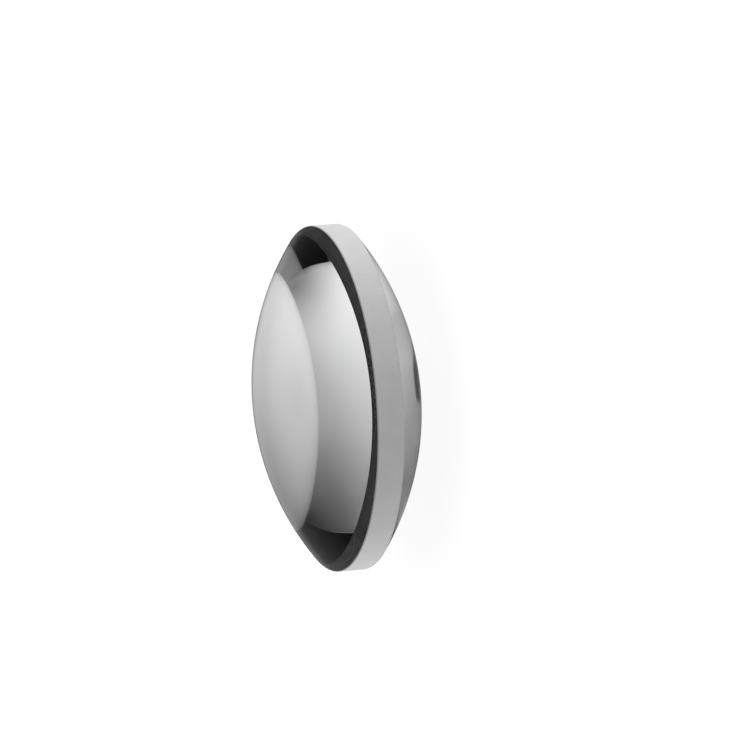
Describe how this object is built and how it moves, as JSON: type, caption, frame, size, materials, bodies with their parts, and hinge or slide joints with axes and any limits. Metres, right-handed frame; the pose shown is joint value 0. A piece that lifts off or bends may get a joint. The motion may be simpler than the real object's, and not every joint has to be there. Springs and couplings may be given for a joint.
{
  "type": "biconvex lens",
  "caption": "Thick double-convex glass lens with polished spherical faces and a fine-ground cylindrical rim, for focusing or collecting light.",
  "frame": {"origin": "vertex of the back face, the lowest point of the lens as it lies", "axes": "+Z along the optical axis, from the back face to the front face"},
  "size_m": [0.0254, 0.0254, 0.011],
  "materials": {
    "crown_glass": "clear polished faces, fine-ground rim"
  },
  "bodies": {
    "root": {"lens": "crown_glass"}
  },
  "joints": []
}
